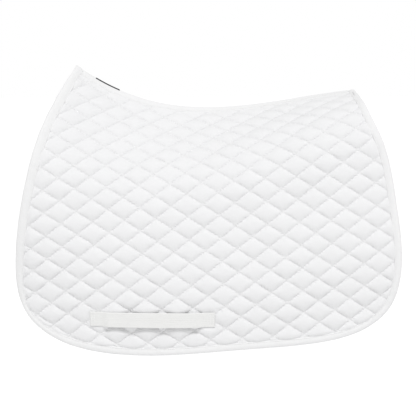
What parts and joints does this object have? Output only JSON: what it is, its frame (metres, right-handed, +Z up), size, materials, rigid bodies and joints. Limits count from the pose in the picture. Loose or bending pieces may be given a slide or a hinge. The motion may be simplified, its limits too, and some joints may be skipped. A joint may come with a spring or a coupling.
{
  "type": "saddle pad",
  "caption": "All-purpose saddle pad with diamond-quilted sides, bound edges, a contoured spine and webbing girth straps.",
  "frame": {"origin": "underside of the spine tape at the lowest point of the spine, on the centre plane, where the pad rests on the horse's back", "axes": "+X towards the tail, +Y to the horse's right, +Z up; the left side of the pad is at -Y"},
  "size_m": [0.7657, 0.4636, 0.5637],
  "materials": {
    "quilted_cotton": "matt white cotton twill, quilted in diamonds",
    "lining_cotton": "matt white cotton",
    "wadding": "soft white polyester fleece",
    "binding_tape": "matt white cotton twill tape",
    "webbing": "ribbed white nylon webbing with a slight sheen",
    "thread": "white polyester thread",
    "label_weave": "dark satin-woven label, plain"
  },
  "bodies": {
    "spine": {"spine_outer_tape": "binding_tape", "spine_inner_tape": "binding_tape", "spine_tape_stitching": "thread", "withers_label": "label_weave"},
    "left_panel": {"left_outer_cover": "quilted_cotton", "left_wadding": "wadding", "left_lining": "lining_cotton", "left_edge_binding": "binding_tape", "left_rear_bartack": "thread", "left_girth_strap": "webbing", "left_strap_front_stitching": "thread", "left_strap_rear_stitching": "thread"},
    "right_panel": {"right_outer_cover": "quilted_cotton", "right_wadding": "wadding", "right_lining": "lining_cotton", "right_edge_binding": "binding_tape", "right_rear_bartack": "thread", "right_girth_strap": "webbing", "right_strap_front_stitching": "thread", "right_strap_rear_stitching": "thread"}
  },
  "joints": [
    {"name": "left_spine_fold", "type": "hinge", "parent": "spine", "child": "left_panel", "pos_m": [0, 0, 0], "axis": [1, 0, 0], "range_deg": [0, 20], "deforming": ["spine_outer_tape", "spine_inner_tape", "spine_tape_stitching", "withers_label"]},
    {"name": "right_spine_fold", "type": "hinge", "parent": "spine", "child": "right_panel", "pos_m": [0, 0, 0], "axis": [-1, 0, 0], "range_deg": [0, 20]}
  ]
}
